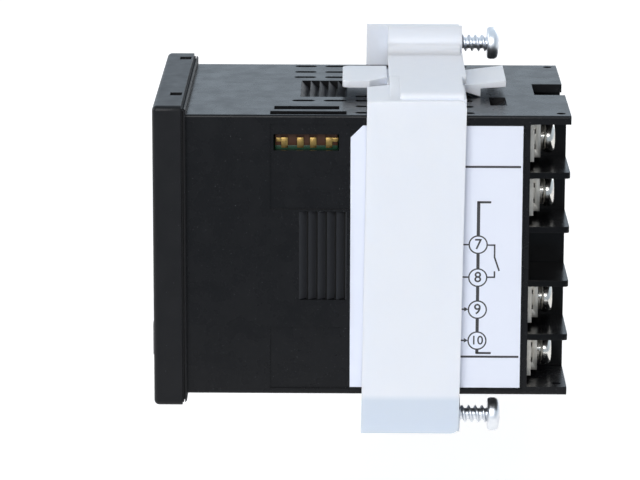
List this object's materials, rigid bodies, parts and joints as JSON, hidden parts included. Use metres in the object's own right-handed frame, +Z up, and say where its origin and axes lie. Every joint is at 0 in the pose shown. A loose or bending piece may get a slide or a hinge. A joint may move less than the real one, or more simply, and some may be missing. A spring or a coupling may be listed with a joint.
{
  "type": "pid temperature controller",
  "caption": "Square-front panel temperature controller with a deep black case, a side label, rear screw terminals and a white clip-on mounting adapter with clamp screws.",
  "frame": {"origin": "centre of the panel seat, on the plane behind the bezel where the panel's front face lies", "axes": "+Y from the panel seat to the rear, +X to the right seen from the front, +Z up; the front faces -Y"},
  "size_m": [0.048, 0.0654, 0.0598],
  "materials": {
    "black_plastic": "fine satin texture",
    "gloss_black_plastic": "gloss",
    "black_rubber": "matt",
    "smoked_lens": "clear gloss",
    "display_grey": "satin",
    "key_grey": "satin",
    "translucent_white": "translucent satin",
    "zinc": "bright zinc",
    "nickel": "bright nickel",
    "gold": "gold plated",
    "insulator_brown": "satin",
    "board_green": "solder mask",
    "label_white": "matt film",
    "coil_yellow": "taped winding",
    "component_black": "matt"
  },
  "bodies": {
    "controller": {"case": "black_plastic", "front_bezel": "black_plastic", "panel_gasket": "black_rubber", "display_lens": "smoked_lens", "display_module": "display_grey", "display_board": "board_green", "key_mat": "black_rubber", "terminal_block": "gloss_black_plastic", "logic_board": "board_green", "power_board": "board_green", "terminal_board": "board_green", "transformer": "coil_yellow", "output_relay": "component_black", "bulk_capacitor": "component_black", "processor_chip": "component_black", "port_insulator": "insulator_brown", "port_contacts": "gold", "side_label": "label_white", "terminal_plate_1": "nickel", "terminal_plate_2": "nickel", "terminal_plate_3": "nickel", "terminal_plate_4": "nickel", "terminal_plate_5": "nickel", "terminal_plate_6": "nickel", "terminal_plate_7": "nickel", "terminal_plate_8": "nickel"},
    "adapter": {"mounting_adapter": "translucent_white"},
    "upper_clamp_screw": {"clamp_screw_upper": "zinc"},
    "lower_clamp_screw": {"clamp_screw_lower": "zinc"},
    "set_key": {"set_key": "key_grey"},
    "shift_key": {"shift_key": "key_grey"},
    "down_key": {"down_key": "key_grey"},
    "up_key": {"up_key": "key_grey"},
    "terminal_screw_1": {"terminal_screw_1": "nickel", "spring_washer_1": "nickel", "clamp_washer_1": "nickel"},
    "terminal_screw_2": {"terminal_screw_2": "nickel", "spring_washer_2": "nickel", "clamp_washer_2": "nickel"},
    "terminal_screw_3": {"terminal_screw_3": "nickel", "spring_washer_3": "nickel", "clamp_washer_3": "nickel"},
    "terminal_screw_4": {"terminal_screw_4": "nickel", "spring_washer_4": "nickel", "clamp_washer_4": "nickel"},
    "terminal_screw_5": {"terminal_screw_5": "nickel", "spring_washer_5": "nickel", "clamp_washer_5": "nickel"},
    "terminal_screw_6": {"terminal_screw_6": "nickel", "spring_washer_6": "nickel", "clamp_washer_6": "nickel"},
    "terminal_screw_7": {"terminal_screw_7": "nickel", "spring_washer_7": "nickel", "clamp_washer_7": "nickel"},
    "terminal_screw_8": {"terminal_screw_8": "nickel", "spring_washer_8": "nickel", "clamp_washer_8": "nickel"}
  },
  "joints": [
    {"name": "adapter_slide", "type": "slide", "parent": "controller", "child": "adapter", "axis": [0, 1, 0], "range_m": [-0.0239, 0.036]},
    {"name": "upper_clamp_screw_travel", "type": "slide", "parent": "adapter", "child": "upper_clamp_screw", "axis": [0, 1, 0], "range_m": [-0.0039, 0.008]},
    {"name": "lower_clamp_screw_travel", "type": "slide", "parent": "adapter", "child": "lower_clamp_screw", "axis": [0, 1, 0], "range_m": [-0.0039, 0.008]},
    {"name": "set_key_press", "type": "slide", "parent": "controller", "child": "set_key", "axis": [0, 1, 0], "range_m": [0, 0.0005], "stiffness_N_per_m": 600, "springref_m": -0.0005},
    {"name": "shift_key_press", "type": "slide", "parent": "controller", "child": "shift_key", "axis": [0, 1, 0], "range_m": [0, 0.0005], "stiffness_N_per_m": 600, "springref_m": -0.0005},
    {"name": "down_key_press", "type": "slide", "parent": "controller", "child": "down_key", "axis": [0, 1, 0], "range_m": [0, 0.0005], "stiffness_N_per_m": 600, "springref_m": -0.0005},
    {"name": "up_key_press", "type": "slide", "parent": "controller", "child": "up_key", "axis": [0, 1, 0], "range_m": [0, 0.0005], "stiffness_N_per_m": 600, "springref_m": -0.0005},
    {"name": "terminal_screw_1_travel", "type": "slide", "parent": "controller", "child": "terminal_screw_1", "axis": [0, 1, 0], "range_m": [0, 0.0015]},
    {"name": "terminal_screw_2_travel", "type": "slide", "parent": "controller", "child": "terminal_screw_2", "axis": [0, 1, 0], "range_m": [0, 0.0015]},
    {"name": "terminal_screw_3_travel", "type": "slide", "parent": "controller", "child": "terminal_screw_3", "axis": [0, 1, 0], "range_m": [0, 0.0015]},
    {"name": "terminal_screw_4_travel", "type": "slide", "parent": "controller", "child": "terminal_screw_4", "axis": [0, 1, 0], "range_m": [0, 0.0015]},
    {"name": "terminal_screw_5_travel", "type": "slide", "parent": "controller", "child": "terminal_screw_5", "axis": [0, 1, 0], "range_m": [0, 0.0015]},
    {"name": "terminal_screw_6_travel", "type": "slide", "parent": "controller", "child": "terminal_screw_6", "axis": [0, 1, 0], "range_m": [0, 0.0015]},
    {"name": "terminal_screw_7_travel", "type": "slide", "parent": "controller", "child": "terminal_screw_7", "axis": [0, 1, 0], "range_m": [0, 0.0015]},
    {"name": "terminal_screw_8_travel", "type": "slide", "parent": "controller", "child": "terminal_screw_8", "axis": [0, 1, 0], "range_m": [0, 0.0015]}
  ]
}
